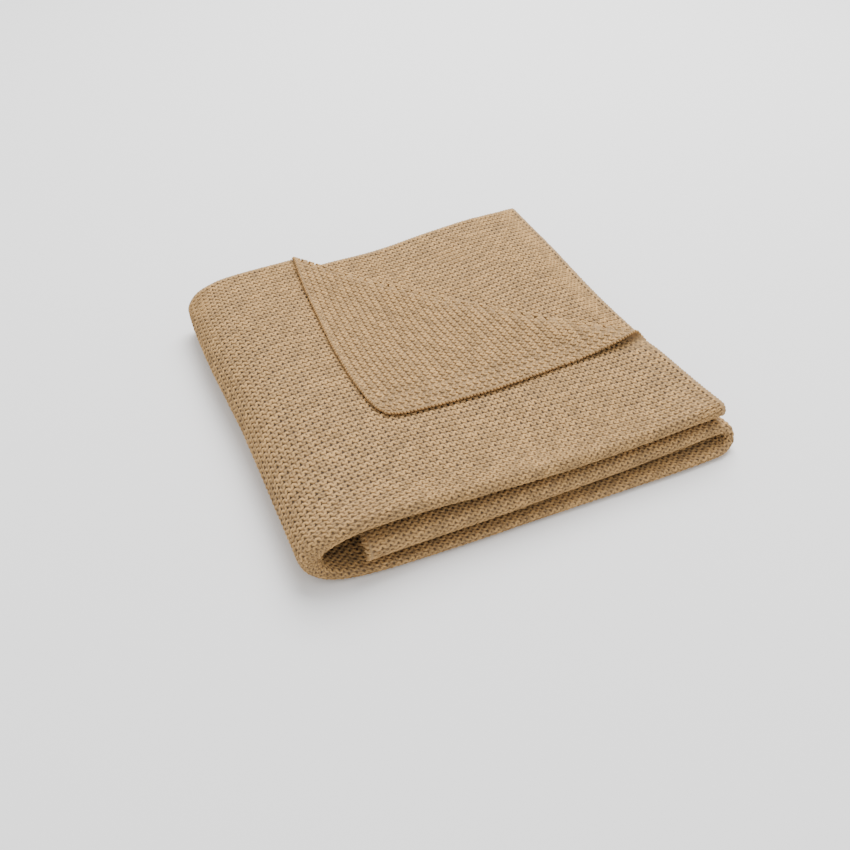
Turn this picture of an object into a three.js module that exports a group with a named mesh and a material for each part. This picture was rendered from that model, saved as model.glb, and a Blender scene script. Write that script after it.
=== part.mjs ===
// A knitted crib blanket, folded: one plain rectangular panel with self-finished edges.
// It is doubled with its fold at the front, and the doubled cloth is then folded in three.
// The back right corner of the top ply is turned over to the front left.
// Millimetres, +Z up. The origin is on the surface that the pile lies on, under its middle.

import * as THREE from 'three';

// Driving dimensions of the cloth and of the pile
const CLOTH_THICKNESS = 4.2; // the knit from the top of its ridges to the back
const PILE_DEPTH = 482; // from the doubled fold at the front to the free edges at the back
const NOSE_TAPER = 46; // the two plies come together over this far behind the doubled fold

// The top layer's free edge at the right is drawn in at its middle and pushed out at its front
const EDGE_HOLLOW = 4.5;
const EDGE_HOLLOW_WIDTH = 0.27; // as a share of the pile's depth
const EDGE_HOLLOW_REACH = 45; // the hollow dies away over this length of cloth
const EDGE_FLARE = 5;
const EDGE_FLARE_DEPTH = 45;
const EDGE_FLARE_REACH = 30;

// The middle layer's free end, inside the left fold, is pushed out more
const END_FLARE = 9;

// The right fold splays out at its front corner
const FOLD_FLARE = 8;
const FOLD_FLARE_DEPTH = 42;
const FOLD_FLARE_REACH = 34;
const FOLD_FLARE_AHEAD = 8; // it is widest this far before the fold's end

// The left fold slants to the right. From a share of the depth on it bows out again, and its
// back corner is rounded. The bow and the corner are shares of the slant.
const SLIDE_BOW = 0.8;
const SLIDE_BOW_START = 0.4;
const SLIDE_BOW_DEPTH = 0.4;
const SLIDE_CORNER = 0.6;
const SLIDE_CORNER_REACH = 0.04;

// The inner ply of the top layer lies further right behind the doubled fold
const INNER_EDGE_REACH = 8.3;
const INNER_EDGE_DEPTH = 170;
const INNER_EDGE_FADE = 150;

// The top layer dips a little in the middle of its flat part, and its surface is slightly wavy
const DISH = 3;
const DISH_END = 330;
const DISH_FADE = 120;
const WAVE_LENGTH = 210;
const WAVE_DEPTH = 190;
const WAVE_START = 27; // lengths by which the waves are shifted along the cloth
const WAVE_DEPTH_START = 60; // and towards the front

// The turned corner: a half turn of small radius along a diagonal, and then it lies flat
const CORNER_LEG = 359; // from the corner to the fold, along either edge
const CORNER_BOW = 9; // the fold bends this far towards the corner's tip in its middle
const CORNER_SKEW = 6; // and its right end lies this much nearer to the corner
const ROLL_RADIUS = 3.5;
const ROLL_BACK_EXTRA = 0.3; // looser where the fold meets the back edge
const ROLL_RIGHT_EXTRA = 3; // and looser still where it meets the right edge
const ROLL_BACK_SPREAD = 0.12; // shares of the fold's length
const ROLL_RIGHT_SPREAD = 0.28;
const FLAP_CLEARANCE = 0.9;
const FLAP_SETTLE = 70; // the flap comes down onto the layer below over this far
const FLAP_STRETCH = 0.99;
const TIP_ROUND = 5; // the corner's tip is rounded: it is drawn in this far from either edge
const TIP_ROUND_REACH = 14;
const ROLL_END_DRAW = 4.5; // the cloth is drawn back along the fold where it meets the right edge
const ROLL_END_REACH = 22;
const ROLL_END_PLACE = 339; // from the corner
const RELIEF_LIFT = 4; // the ply that the corner is turned off rises this much
const RELIEF_REACH = 200; // and rises over this distance from the fold

// Stations along the doubled cloth, as seen from the front. They run from the free end of the
// top layer leftwards, down round the left fold, rightwards along the bottom layer, up round
// the right fold and leftwards along the middle layer to its free end.
//   x, z      the middle of the doubled cloth, z above the surface it lies on
//   front     how far behind the pile's front line the doubled fold stands
//   outer     where the back edge of the outer ply lies, behind the front line
//   inner     the same for the inner ply
//   nose      radius of the doubled fold
//   apart     distance between the two plies, middle to middle, where they lie flat
//   sag       1 keeps the outer ply flat over the fold, 0 keeps the fold in the middle
//   back      rise of the back edge above the front
//   slide     shift of the back edge to the right
//   wave      height of the surface's waves
const COLUMNS = ['x', 'z', 'front', 'outer', 'inner', 'nose', 'apart', 'sag', 'back', 'slide', 'wave'];
const STATIONS = [
  // top layer
  [0, 54.3, -3, 482, 489, 8.4, 12, 1, 3, 0, 0.4],
  [-60, 54.3, -3, 488, 489, 8.4, 12, 1, 3, 0, 0.8],
  [-130, 54.3, -2, 490, 482, 8.2, 12, 1, 3, 0, 1.0],
  [-210, 54.5, -1, 486, 476, 8.0, 12, 1, 2, 0, 1.0],
  [-290, 57.8, 3, 485, 475, 7.6, 12, 1, -1, 0, 1.0],
  [-360, 62.3, 7, 481, 465, 7.8, 12, 1, -3, 0, 1.0],
  [-425, 65.5, 8, 479, 460, 8.6, 12, 1, -5, 2, 0.8],
  // left fold
  [-464, 61.8, 9, 476, 460, 10.2, 10, 1, -4, 5, 0.4],
  [-486.6, 49.8, 11, 475, 464, 11, 8, 1, -2, 7, 0.2],
  [-495.5, 33.4, 12, 473, 468, 11.4, 7, 1, 0, 8, 0],
  [-490, 16.4, 10, 474, 470, 9.4, 6, 1, 0, 8, 0],
  [-470, 6.9, 4, 475, 471, 5.6, 6, 1, 0, 7, 0],
  // bottom layer
  [-440, 5.6, -2, 476, 472, 4.0, 7, 1, 0, 5, 0],
  [-350, 5.6, -10, 477, 474, 3.8, 7, 1, 0, 2, 0],
  [-240, 5.6, -15, 478, 476, 3.8, 7, 1, 0, 0, 0],
  [-120, 5.6, -21, 478, 478, 3.9, 7, 1, 0, 0, 0],
  [-40, 5.6, -24, 479, 480, 4.0, 7, 1, 0, 0, 0],
  // right fold
  [-14, 5.6, -24, 480, 480, 4.2, 7, 1, 0, 0, 0],
  [1, 8, -21, 480, 479, 4.4, 7, 0, 0, 0, 0],
  [8.4, 15, -16, 480, 478, 4.8, 7.5, -0.4, 0, 0, 0],
  [7.6, 22.4, -12, 479, 477, 5.4, 8.5, -0.4, 0, 0, 0],
  [0, 28, -10, 478, 476, 6.4, 10, -0.2, 0, 0, 0],
  [-14, 29.6, -10, 478, 476, 7.2, 11, 0, 0, 0, 0.1],
  // middle layer
  [-60, 27.8, -9.4, 476, 474, 8.0, 12, 0, 0, 0, 0.5],
  [-160, 27.6, -8.6, 474, 470, 8.8, 12, 0, 1, 0, 0.8],
  [-260, 28.8, -8.4, 473, 468, 9.2, 12, 0, 2, 0, 0.8],
  [-350, 30.2, -5.2, 472, 466, 9.6, 12, 0, 2, 0, 0.8],
  [-423, 31.4, -4.6, 470, 465, 10, 12, 0, 1, 0, 0.4],
];

// Mesh spacing along the cloth: fine in the folds, coarse where it lies flat
const SPACING = [
  { from: 0, step: 33 },
  { from: 390, step: 11 },
  { from: 560, step: 55 },
  { from: 1000, step: 7.5 },
  { from: 1072, step: 52 },
];
const NOSE_STEPS = 3; // over the quarter turn of the doubled fold on each ply
const FLAT_SHARES = [0.035, 0.07, 0.11, 0.22, 0.35, 0.48, 0.61, 0.74, 0.87, 1];
const ROLL_CUTS = [0, 0.2, 0.4, 0.6, 0.8, 1]; // shares of the turned corner's half turn
const SETTLE_CUTS = [2.2, 4]; // the same measure, past the half turn
const CUT_TOLERANCE = 0.04; // a point this near a cut counts as on it
const SAMPLES_PER_SPAN = 40; // of the curve between two stations
const NORMAL_STEP = 0.5; // either way, where a surface's normal is measured

const HALF_TURN = Math.PI;
const QUARTER_TURN = Math.PI / 2;

function smoothStep(share) {
  const t = Math.min(Math.max(share, 0), 1);
  return t * t * (3 - 2 * t);
}

function bell(distance, width) {
  return Math.exp(-((distance / width) ** 2));
}

function turnSine(turns) {
  return Math.sin(2 * Math.PI * turns);
}

// Distance between two rows, in x and z
function apart(a, b) {
  return Math.hypot(a[0] - b[0], a[1] - b[1]);
}

// Slopes of a smooth curve through the stations that never overshoots them
function stationSlopes(lengths) {
  const last = STATIONS.length - 1;
  const rise = (i, c) => (STATIONS[i + 1][c] - STATIONS[i][c]) / lengths[i];
  return STATIONS.map((row, i) =>
    row.map((_, c) => {
      if (i === 0) return rise(0, c);
      if (i === last) return rise(last - 1, c);
      const before = rise(i - 1, c);
      const after = rise(i, c);
      if (before * after <= 0) return 0;
      const mean = (before * lengths[i] + after * lengths[i - 1]) / (lengths[i] + lengths[i - 1]);
      const steepest = 3 * Math.min(Math.abs(before), Math.abs(after));
      return Math.sign(mean) * Math.min(Math.abs(mean), steepest);
    })
  );
}

function samplePath() {
  const lengths = STATIONS.slice(1).map((row, i) => apart(row, STATIONS[i]));
  const slopes = stationSlopes(lengths);
  const samples = [];
  lengths.forEach((length, i) => {
    for (let j = 0; j < SAMPLES_PER_SPAN; j++) {
      const t = j / SAMPLES_PER_SPAN;
      const fromStart = 2 * t ** 3 - 3 * t ** 2 + 1;
      const startSlope = (t ** 3 - 2 * t ** 2 + t) * length;
      const endSlope = (t ** 3 - t ** 2) * length;
      samples.push(STATIONS[i].map((value, c) =>
        fromStart * value + (1 - fromStart) * STATIONS[i + 1][c]
        + startSlope * slopes[i][c] + endSlope * slopes[i + 1][c]));
    }
  });
  samples.push(STATIONS[STATIONS.length - 1]);
  return samples;
}

const PATH = samplePath();
const ALONG = [0];
for (let i = 1; i < PATH.length; i++) {
  ALONG.push(ALONG[i - 1] + apart(PATH[i], PATH[i - 1]));
}
const CLOTH_LENGTH = ALONG[ALONG.length - 1];

// Where the doubled cloth reaches furthest right in its right fold
const BOTTOM_MIDDLE = ALONG.findIndex((length) => length > CLOTH_LENGTH / 2);
const FURTHEST = PATH.findIndex((row, i) => i > BOTTOM_MIDDLE && PATH[i + 1][0] < row[0]);
const RIGHT_FOLD = ALONG[FURTHEST];

// The section's values at a length along the cloth, with its direction of travel
function section(along) {
  const s = Math.min(Math.max(along, 0), CLOTH_LENGTH);
  let low = 0;
  let high = ALONG.length - 1;
  while (high - low > 1) {
    const middle = (low + high) >> 1;
    if (ALONG[middle] <= s) low = middle;
    else high = middle;
  }
  const t = (s - ALONG[low]) / (ALONG[high] - ALONG[low]);
  const values = {};
  COLUMNS.forEach((name, c) => {
    values[name] = PATH[low][c] + t * (PATH[high][c] - PATH[low][c]);
  });
  const before = PATH[Math.max(low - 1, 0)];
  const after = PATH[Math.min(high + 1, PATH.length - 1)];
  const travel = apart(after, before);
  values.outX = (after[1] - before[1]) / travel;
  values.outZ = -(after[0] - before[0]) / travel;
  return values;
}

// Length of a ply from the tip of the doubled fold to its free edge at the back
function plyWidth(along, side) {
  const at = section(along);
  const back = side > 0 ? at.outer : at.inner;
  return back - at.front - at.nose + at.nose * QUARTER_TURN;
}

// How far to the right the two free edges and the right fold are shifted
function edgeShift(along, y) {
  const behind = Math.max(y, 0);
  const past = Math.max(along, 0);
  const ahead = Math.max(CLOTH_LENGTH - along, 0);
  const beforeFold = along - RIGHT_FOLD + FOLD_FLARE_AHEAD;
  const hollow = Math.exp(-past / EDGE_HOLLOW_REACH)
    * bell(y / PILE_DEPTH - 0.5, EDGE_HOLLOW_WIDTH);
  const edgeFlare = Math.exp(-past / EDGE_FLARE_REACH - behind / EDGE_FLARE_DEPTH);
  const endFlare = Math.exp(-ahead / EDGE_FLARE_REACH - behind / EDGE_FLARE_DEPTH);
  const foldFlare = bell(beforeFold, FOLD_FLARE_REACH) * Math.exp(-behind / FOLD_FLARE_DEPTH);
  return EDGE_FLARE * edgeFlare - EDGE_HOLLOW * hollow
    - END_FLARE * endFlare + FOLD_FLARE * foldFlare;
}

// The share of the slant at a share of the pile's depth
function slideShare(depth) {
  const bow = SLIDE_BOW * smoothStep((depth - SLIDE_BOW_START) / SLIDE_BOW_DEPTH);
  return depth - bow + SLIDE_CORNER * Math.exp((depth - 1) / SLIDE_CORNER_REACH);
}

// How far the inner ply lies further right, and higher where the corner is turned off it
function innerShift(along, width, y) {
  const reach = Math.exp(-Math.max(along, 0) / INNER_EDGE_FADE)
    * smoothStep(y / INNER_EDGE_DEPTH);
  const lift = smoothStep(turnedCorner(along, width).distance / RELIEF_REACH);
  return { right: INNER_EDGE_REACH * reach, up: RELIEF_LIFT * lift };
}

// A point of the doubled cloth, before the corner is turned over.
// side is 1 on the outer ply and -1 on the inner one, width is measured from the fold's tip.
function doubled(along, width, side) {
  const at = section(along);
  const quarter = at.nose * QUARTER_TURN;
  const angle = Math.min(width, quarter) / at.nose;
  const past = Math.max(width - quarter, 0);
  const puff = (at.nose - at.apart / 2) * (1 - smoothStep(past / NOSE_TAPER));
  const half = width < quarter ? at.nose * Math.sin(angle) : at.apart / 2 + puff;
  const offset = side * half - puff * at.sag;
  const y = at.front + at.nose * (1 - Math.cos(angle)) + past;
  const depth = y / PILE_DEPTH;

  const shift = edgeShift(along, y);
  const inner = side < 0 ? innerShift(along, width, y) : { right: 0, up: 0 };
  const dished = 1 - smoothStep((along - DISH_END) / DISH_FADE);
  const dish = DISH * dished * Math.max(4 * depth * (1 - depth), 0);
  const wave = at.wave * turnSine((along + WAVE_START) / WAVE_LENGTH)
    * turnSine((y + WAVE_DEPTH_START) / WAVE_DEPTH);

  return new THREE.Vector3(
    at.x + at.outX * offset + at.slide * slideShare(depth) + shift + inner.right,
    y,
    at.z + at.outZ * offset + at.back * depth - dish + wave + inner.up,
  );
}

// The unit normal of a surface given as a function of along and width
function normalOf(surface, along, width) {
  const alongStep = surface(along + NORMAL_STEP, width).sub(surface(along - NORMAL_STEP, width));
  const widthStep = surface(along, width + NORMAL_STEP).sub(surface(along, width - NORMAL_STEP));
  return widthStep.cross(alongStep).normalize();
}

// Where a point of the outer ply lies against the turned corner's fold
const CORNER_WIDTH = plyWidth(0, 1);
function turnedCorner(along, width) {
  const place = 0.5 * (1 - (along + width - CORNER_WIDTH) / CORNER_LEG);
  const share = Math.min(Math.max(place, 0), 1);
  const leg = CORNER_LEG + CORNER_BOW * Math.sin(Math.PI * share) - CORNER_SKEW * share;
  const radius = ROLL_RADIUS + ROLL_BACK_EXTRA * bell(share, ROLL_BACK_SPREAD)
    + ROLL_RIGHT_EXTRA * bell(1 - share, ROLL_RIGHT_SPREAD);
  const distance = (leg - along - (CORNER_WIDTH - width)) / Math.SQRT2;
  return { distance, radius, turn: distance / (HALF_TURN * radius) };
}

// A point of the cloth's middle surface
function cloth(along, width, side) {
  if (side < 0) return doubled(along, width, side);
  const fromTip = Math.hypot(along, CORNER_WIDTH - width);
  const drawnIn = TIP_ROUND * bell(fromTip, TIP_ROUND_REACH);
  const fromRollEnd = Math.hypot(along, CORNER_WIDTH - width - ROLL_END_PLACE);
  const drawnBack = ROLL_END_DRAW * bell(fromRollEnd, ROLL_END_REACH);
  const [a, w] = [along + drawnIn + drawnBack, width - drawnIn + drawnBack];
  const { distance, radius } = turnedCorner(a, w);
  if (distance <= 0) return doubled(a, w, side);

  const angle = Math.min(distance / radius, HALF_TURN);
  const beyond = Math.max(distance - HALF_TURN * radius, 0);
  const flat = beyond > 0 ? -beyond * FLAP_STRETCH : radius * Math.sin(angle);
  const lying = CLOTH_THICKNESS + FLAP_CLEARANCE;
  const height = beyond > 0
    ? lying + (2 * radius - lying) * (1 - smoothStep(beyond / FLAP_SETTLE))
    : radius * (1 - Math.cos(angle));
  const shift = (distance - flat) / Math.SQRT2;
  const ply = (s, t) => doubled(s, t, side);
  const normal = normalOf(ply, a + shift, w - shift);
  return ply(a + shift, w - shift).addScaledVector(normal, height);
}

// The cloth cut into triangles while it is flat. A point holds along, width and side.
function alongSteps() {
  const steps = [];
  SPACING.forEach(({ from, step }, i) => {
    const to = i + 1 < SPACING.length ? SPACING[i + 1].from : CLOTH_LENGTH;
    const count = Math.round((to - from) / step);
    for (let j = 0; j < count; j++) steps.push(from + (to - from) * j / count);
  });
  steps.push(CLOTH_LENGTH);
  return steps;
}

function widthSteps(along, side) {
  const quarter = section(along).nose * QUARTER_TURN;
  const flat = plyWidth(along, side) - quarter;
  const steps = [];
  for (let j = 1; j <= NOSE_STEPS; j++) steps.push(quarter * j / NOSE_STEPS);
  return steps.concat(FLAT_SHARES.map((share) => quarter + flat * share));
}

function flatGrid() {
  const points = [];
  const triangles = [];
  const columns = alongSteps();
  for (const along of columns) {
    const inner = widthSteps(along, -1).reverse().map((width) => ({ along, width, side: -1 }));
    const outer = widthSteps(along, 1).map((width) => ({ along, width, side: 1 }));
    points.push(...inner, { along, width: 0, side: 1 }, ...outer);
  }
  const row = points.length / columns.length;
  for (let i = 0; i + 1 < columns.length; i++) {
    for (let j = 0; j + 1 < row; j++) {
      const a = i * row + j;
      triangles.push([a, a + 1, a + row], [a + row, a + 1, a + row + 1]);
    }
  }
  return { points, triangles };
}

// Splits the triangles along the line where the corner's turn has the given value
function splitAt({ points, triangles }, value) {
  const side = points.map((p) => {
    const off = p.side > 0 ? turnedCorner(p.along, p.width).turn - value : -1;
    return Math.abs(off) < CUT_TOLERANCE ? 0 : off;
  });
  const made = new Map();
  const between = (i, j) => {
    const key = Math.min(i, j) + ' ' + Math.max(i, j);
    if (!made.has(key)) {
      const t = side[i] / (side[i] - side[j]);
      const mix = (name) => points[i][name] + t * (points[j][name] - points[i][name]);
      made.set(key, points.length);
      points.push({ along: mix('along'), width: mix('width'), side: 1 });
      side.push(0);
    }
    return made.get(key);
  };
  const result = [];
  for (const triangle of triangles) {
    const crossed = (k) => side[triangle[k]] * side[triangle[(k + 1) % 3]] < 0;
    const cuts = [0, 1, 2].filter(crossed);
    if (cuts.length === 0) {
      result.push(triangle);
    } else if (cuts.length === 1) {
      const [a, b, c] = [0, 1, 2].map((k) => triangle[(cuts[0] + k) % 3]);
      const m = between(a, b);
      result.push([a, m, c], [m, b, c]);
    } else {
      // the corner that stands alone comes first
      const start = [0, 1, 2].find((k) => !crossed((k + 1) % 3));
      const [a, b, c] = [0, 1, 2].map((k) => triangle[(start + k) % 3]);
      const m = between(a, b);
      const n = between(a, c);
      result.push([a, m, n], [m, b, n], [b, c, n]);
    }
  }
  return { points, triangles: result };
}

// The folded cloth as one closed solid: two faces and the rim between them
function thicken({ points, triangles }) {
  const positions = [];
  for (const sign of [1, -1]) {
    for (const p of points) {
      const surface = (a, w) => cloth(a, Math.abs(w), w < 0 ? -1 : 1);
      const width = p.side * p.width;
      const normal = normalOf(surface, p.along, width);
      const middle = surface(p.along, width);
      positions.push(middle.addScaledVector(normal, sign * CLOTH_THICKNESS / 2));
    }
  }
  const count = points.length;
  const faces = [];
  const rim = new Map();
  for (const [a, b, c] of triangles) {
    faces.push([a, b, c], [c + count, b + count, a + count]);
    for (const [i, j] of [[a, b], [b, c], [c, a]]) {
      if (rim.has(j + ' ' + i)) rim.delete(j + ' ' + i);
      else rim.set(i + ' ' + j, [i, j]);
    }
  }
  for (const [i, j] of rim.values()) {
    faces.push([j, i, i + count], [j, i + count, j + count]);
  }
  return { positions, faces };
}

function blanketGeometry() {
  let flat = flatGrid();
  for (const value of [...ROLL_CUTS, ...SETTLE_CUTS]) flat = splitAt(flat, value);
  const { positions, faces } = thicken(flat);
  const geometry = new THREE.BufferGeometry();
  const numbers = positions.flatMap((p) => p.toArray());
  geometry.setAttribute('position', new THREE.Float32BufferAttribute(numbers, 3));
  geometry.setIndex(faces.flat());
  geometry.computeBoundingBox();
  const { min, max } = geometry.boundingBox;
  geometry.translate(-(min.x + max.x) / 2, -(min.y + max.y) / 2, -min.z);
  geometry.computeVertexNormals();
  return geometry;
}

const yarn = new THREE.MeshStandardMaterial({ color: 0xc4a27c, roughness: 0.95, metalness: 0 });
yarn.name = 'camel cotton knit';

const blanket = new THREE.Mesh(blanketGeometry(), yarn);
blanket.name = 'blanket';

const group = new THREE.Group();
group.add(blanket);

export default group;
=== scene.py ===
# %% [markdown]
# A folded, knitted crib blanket in Blender.
#
# The blanket is one rectangular panel of garter stitch. It is doubled with its fold at the front,
# folded in three, and one corner of the top ply is turned back. This lesson bends a flat panel
# into that pile with a formula, knits the stitches flat with Geometry Nodes, and bends them too.
#
# The packed CAD model is the frame: the pile takes its place from it, and its size is printed
# beside the CAD model's.

# %% Load the frame
import math

import bpy
import numpy as np
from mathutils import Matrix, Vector
from mathutils.bvhtree import BVHTree


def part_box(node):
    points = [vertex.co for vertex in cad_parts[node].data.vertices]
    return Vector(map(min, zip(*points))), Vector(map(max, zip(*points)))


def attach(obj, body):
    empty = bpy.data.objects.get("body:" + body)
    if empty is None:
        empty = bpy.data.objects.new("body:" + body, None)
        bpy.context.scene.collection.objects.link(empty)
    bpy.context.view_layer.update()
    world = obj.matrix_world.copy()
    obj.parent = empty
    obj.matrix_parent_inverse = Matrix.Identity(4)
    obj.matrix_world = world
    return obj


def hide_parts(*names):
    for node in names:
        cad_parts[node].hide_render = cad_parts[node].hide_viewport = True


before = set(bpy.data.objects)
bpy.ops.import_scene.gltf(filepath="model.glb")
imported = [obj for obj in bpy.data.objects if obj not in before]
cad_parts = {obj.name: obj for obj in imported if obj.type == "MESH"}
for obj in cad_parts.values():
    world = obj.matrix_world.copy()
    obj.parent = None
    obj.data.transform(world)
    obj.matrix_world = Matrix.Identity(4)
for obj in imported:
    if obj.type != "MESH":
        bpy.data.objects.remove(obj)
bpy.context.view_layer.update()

MM = 0.001

# %% [markdown]
# The camera comes first, because every comparison with the photograph needs it. It stands in
# front of the pile and to the left of it, at about the height of a standing person's hand, and
# looks down at 44 degrees. Its place, its heading and its lens were found from the edges of the
# pile, whose corners are known in the frame.

# %% Camera
CAMERA_PLACE = Vector((-361.5, -717.7, 705.2)) * MM
CAMERA_DOWN = math.radians(44.08)
CAMERA_HEADING = math.radians(25.33)  # to the right of the +Y axis
FOCAL_SHARE = 0.9862  # the focal length over the width of the picture
SENSOR = 36


def new_object(name, data):
    """A new object, already in the scene."""
    made = bpy.data.objects.new(name, data)
    bpy.context.scene.collection.objects.link(made)
    return made


level = Vector((math.sin(CAMERA_HEADING), math.cos(CAMERA_HEADING), 0))
looking = level * math.cos(CAMERA_DOWN) - Vector((0, 0, math.sin(CAMERA_DOWN)))
camera = new_object("camera", bpy.data.cameras.new("camera"))
camera.location = CAMERA_PLACE
camera.rotation_euler = looking.to_track_quat("-Z", "Y").to_euler()
camera.data.sensor_width = SENSOR
camera.data.lens = SENSOR * FOCAL_SHARE
bpy.context.scene.camera = camera
print("lens in mm:", round(camera.data.lens, 1))

# %% [markdown]
# A folded cloth is easy to model if it is first thought of as flat. Each point of the flat panel
# has a length along the cloth and a width across it, and one function says where that point lies
# in the pile. Whatever is drawn on the flat panel, such as a stitch, then folds with it.
#
# The pile seen from the front is a curve through a row of stations. It runs from the free end of
# the top layer leftwards, down round the left fold, rightwards along the bottom layer, up round
# the right fold, and leftwards along the middle layer. The numbers are millimetres, and they are
# the same ones as in the CAD model.
#
# x and z are the middle of the doubled cloth. front, outer and inner say how far back its doubled
# fold and the free edges of its two plies lie. nose is the radius of that fold, and apart is the
# distance between the plies. With sag 1 the outer ply stays flat over the fold, and with 0 the
# fold stays in the middle. back raises the back edge, slide shifts it to the right, and wave is
# the height of the surface's waves.

# %% The stations of the folded cloth
CLOTH_THICKNESS = 4.2
COLUMNS = "x z front outer inner nose apart sag back slide wave".split()
STATIONS = np.array([
    # top layer
    [0, 54.3, -3, 482, 489, 8.4, 12, 1, 3, 0, 0.4],
    [-60, 54.3, -3, 488, 489, 8.4, 12, 1, 3, 0, 0.8],
    [-130, 54.3, -2, 490, 482, 8.2, 12, 1, 3, 0, 1.0],
    [-210, 54.5, -1, 486, 476, 8.0, 12, 1, 2, 0, 1.0],
    [-290, 57.8, 3, 485, 475, 7.6, 12, 1, -1, 0, 1.0],
    [-360, 62.3, 7, 481, 465, 7.8, 12, 1, -3, 0, 1.0],
    [-425, 65.5, 8, 479, 460, 8.6, 12, 1, -5, 2, 0.8],
    # left fold
    [-464, 61.8, 9, 476, 460, 10.2, 10, 1, -4, 5, 0.4],
    [-486.6, 49.8, 11, 475, 464, 11, 8, 1, -2, 7, 0.2],
    [-495.5, 33.4, 12, 473, 468, 11.4, 7, 1, 0, 8, 0],
    [-490, 16.4, 10, 474, 470, 9.4, 6, 1, 0, 8, 0],
    [-470, 6.9, 4, 475, 471, 5.6, 6, 1, 0, 7, 0],
    # bottom layer
    [-440, 5.6, -2, 476, 472, 4.0, 7, 1, 0, 5, 0],
    [-350, 5.6, -10, 477, 474, 3.8, 7, 1, 0, 2, 0],
    [-240, 5.6, -15, 478, 476, 3.8, 7, 1, 0, 0, 0],
    [-120, 5.6, -21, 478, 478, 3.9, 7, 1, 0, 0, 0],
    [-40, 5.6, -24, 479, 480, 4.0, 7, 1, 0, 0, 0],
    # right fold
    [-14, 5.6, -24, 480, 480, 4.2, 7, 1, 0, 0, 0],
    [1, 8, -21, 480, 479, 4.4, 7, 0, 0, 0, 0],
    [8.4, 15, -16, 480, 478, 4.8, 7.5, -0.4, 0, 0, 0],
    [7.6, 22.4, -12, 479, 477, 5.4, 8.5, -0.4, 0, 0, 0],
    [0, 28, -10, 478, 476, 6.4, 10, -0.2, 0, 0, 0],
    [-14, 29.6, -10, 478, 476, 7.2, 11, 0, 0, 0, 0.1],
    # middle layer
    [-60, 27.8, -9.4, 476, 474, 8.0, 12, 0, 0, 0, 0.5],
    [-160, 27.6, -8.6, 474, 470, 8.8, 12, 0, 1, 0, 0.8],
    [-260, 28.8, -8.4, 473, 468, 9.2, 12, 0, 2, 0, 0.8],
    [-350, 30.2, -5.2, 472, 466, 9.6, 12, 0, 2, 0, 0.8],
    [-423, 31.4, -4.6, 470, 465, 10, 12, 0, 1, 0, 0.4],
])
print(len(STATIONS), "stations with", len(COLUMNS), "values each")

# %% [markdown]
# Between two stations each value follows a cubic curve whose slopes are held back, so that it
# never overshoots a station. Sampling that curve densely once lets every later question be
# answered by plain interpolation, for many thousands of points at a time.

# %% The curve through the stations
SAMPLES_PER_SPAN = 40
STEEPEST_SHARE = 3  # of the smaller rise on either side: a steeper cubic could overshoot


def station_slopes(lengths):
    rises = np.diff(STATIONS, axis=0) / lengths[:, None]
    before, after = rises[:-1], rises[1:]
    weight_before, weight_after = lengths[1:, None], lengths[:-1, None]
    mean = (before * weight_before + after * weight_after) / (weight_before + weight_after)
    steepest = STEEPEST_SHARE * np.minimum(abs(before), abs(after))
    held = np.sign(mean) * np.minimum(abs(mean), steepest)
    held[before * after <= 0] = 0
    return np.vstack([rises[:1], held, rises[-1:]])


def sample_path():
    lengths = np.hypot(*np.diff(STATIONS[:, :2], axis=0).T)
    slopes = station_slopes(lengths)
    t = np.linspace(0, 1, SAMPLES_PER_SPAN, endpoint=False)[:, None]
    from_start = 2 * t**3 - 3 * t**2 + 1
    samples = [
        from_start * STATIONS[i] + (1 - from_start) * STATIONS[i + 1]
        + (t**3 - 2 * t**2 + t) * length * slopes[i] + (t**3 - t**2) * length * slopes[i + 1]
        for i, length in enumerate(lengths)
    ]
    return np.vstack(samples + [STATIONS[-1:]])


PATH = sample_path()
STEPS = np.hypot(*np.diff(PATH[:, :2], axis=0).T)
ALONG = np.concatenate([[0], np.cumsum(STEPS)])
CLOTH_LENGTH = ALONG[-1]
HEADINGS = np.gradient(PATH[:, :2], ALONG, axis=0)
HEADINGS /= np.hypot(*HEADINGS.T)[:, None]
# the right fold is where the cloth, past its middle, first turns back to the left
past_middle = ALONG[:-1] > CLOTH_LENGTH / 2
RIGHT_FOLD = ALONG[np.argmax(past_middle & (np.diff(PATH[:, 0]) < 0))]
print("length of the cloth in mm:", round(CLOTH_LENGTH))


def section(along):
    """The section's values where the cloth has this length, with its outward direction."""
    at = {name: np.interp(along, ALONG, PATH[:, i]) for i, name in enumerate(COLUMNS)}
    at["out_x"] = np.interp(along, ALONG, HEADINGS[:, 1])
    at["out_z"] = -np.interp(along, ALONG, HEADINGS[:, 0])
    return at


def ply_width(along, side):
    """From the tip of the doubled fold to the free edge at the back."""
    at = section(along)
    back = np.where(side > 0, at["outer"], at["inner"])
    return back - at["front"] - at["nose"] + at["nose"] * math.pi / 2


# %% [markdown]
# The edges and folds of a real pile are never quite straight. Its two free edges are pushed out
# at the front, the upper one is drawn in at its middle, the right fold splays out at the front,
# and the left fold slants and bows. Each of these is a soft bump with a size and the lengths over
# which it fades, so that no point has to be moved by hand.

# %% Uneven edges and folds
PILE_DEPTH = 482
EDGE_HOLLOW, EDGE_HOLLOW_WIDTH, EDGE_HOLLOW_REACH = 4.5, 0.27, 45
EDGE_FLARE, EDGE_FLARE_DEPTH, EDGE_FLARE_REACH = 5, 45, 30
END_FLARE = 9
FOLD_FLARE, FOLD_FLARE_DEPTH, FOLD_FLARE_REACH, FOLD_FLARE_AHEAD = 8, 42, 34, 8
SLIDE_BOW, SLIDE_BOW_START, SLIDE_BOW_DEPTH = 0.8, 0.4, 0.4
SLIDE_CORNER, SLIDE_CORNER_REACH = 0.6, 0.04


def smooth_step(share):
    t = np.clip(share, 0, 1)
    return t * t * (3 - 2 * t)


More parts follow.
